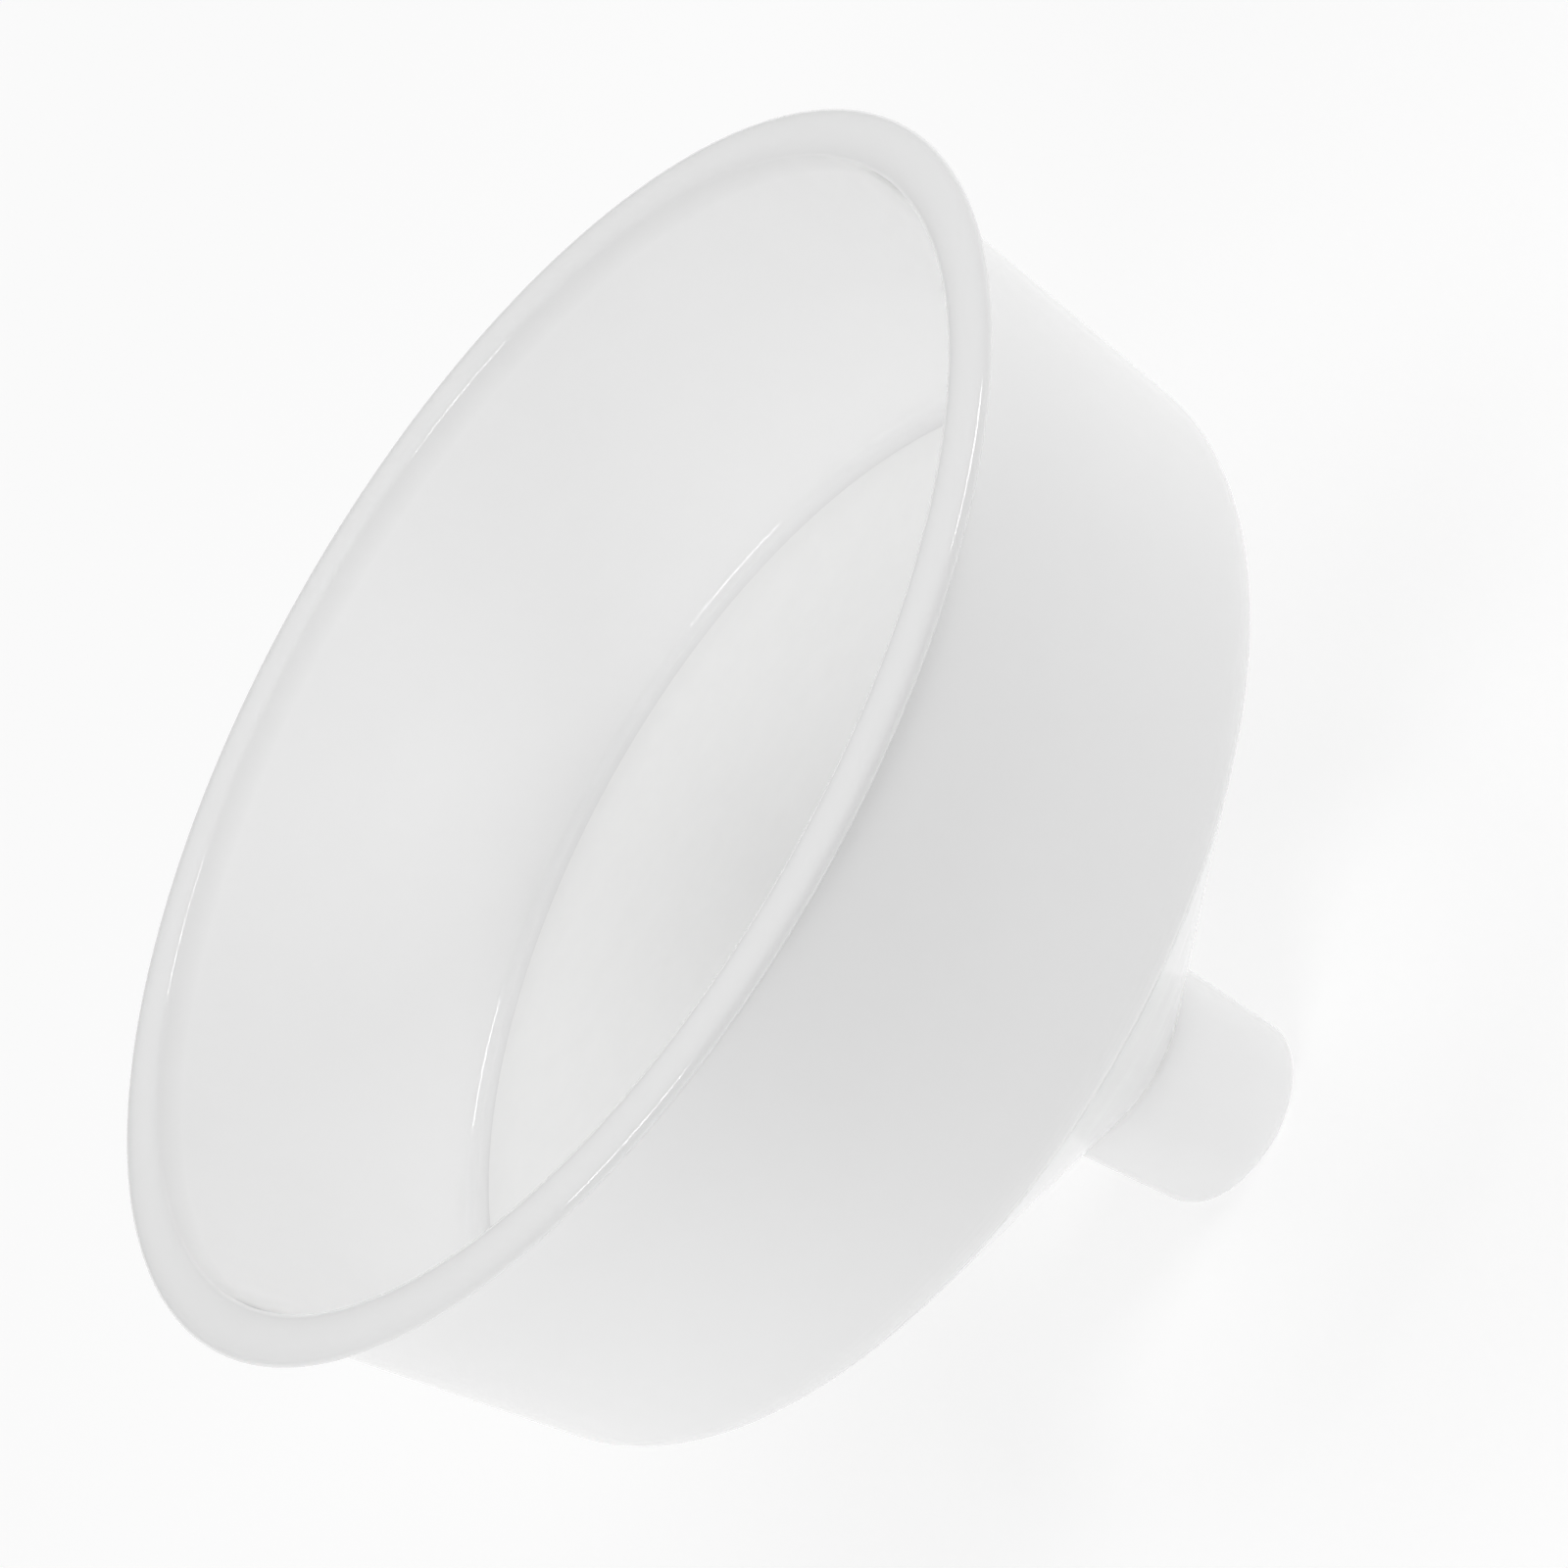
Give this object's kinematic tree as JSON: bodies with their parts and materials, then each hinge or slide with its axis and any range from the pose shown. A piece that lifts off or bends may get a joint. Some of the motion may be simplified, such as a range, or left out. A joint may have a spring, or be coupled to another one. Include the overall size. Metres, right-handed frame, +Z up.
{
  "type": "buchner funnel",
  "caption": "Demountable white plastic Buchner funnel: lipped round bowl with a loose perforated plate and filter circle, on a sealed conical outlet with a short tapered stem.",
  "frame": {"origin": "centre of the stem's tip, on the surface that the funnel stands on", "axes": "+Z up the funnel's axis, from the stem to the mouth; it is round about Z, so X and Y are free"},
  "size_m": [0.2266, 0.2266, 0.157],
  "materials": {
    "bowl_plastic": "glossy moulded white",
    "cone_plastic": "glossy moulded white",
    "plate_plastic": "glossy moulded white",
    "seal_rubber": "soft matt light grey",
    "paper": "matt felted white"
  },
  "bodies": {
    "outlet": {"outlet_cone": "cone_plastic", "seal_ring": "seal_rubber"},
    "bowl": {"filter_bowl": "bowl_plastic"},
    "plate": {"filter_plate": "plate_plastic"},
    "paper": {"filter_paper": "paper"}
  },
  "joints": [
    {"name": "bowl_lift", "type": "slide", "parent": "outlet", "child": "bowl", "axis": [0, 0, 1], "range_m": [0, 0.1]},
    {"name": "plate_lift", "type": "slide", "parent": "bowl", "child": "plate", "axis": [0, 0, 1], "range_m": [0, 0.09]},
    {"name": "paper_lift", "type": "slide", "parent": "plate", "child": "paper", "axis": [0, 0, 1], "range_m": [0, 0.05]}
  ]
}
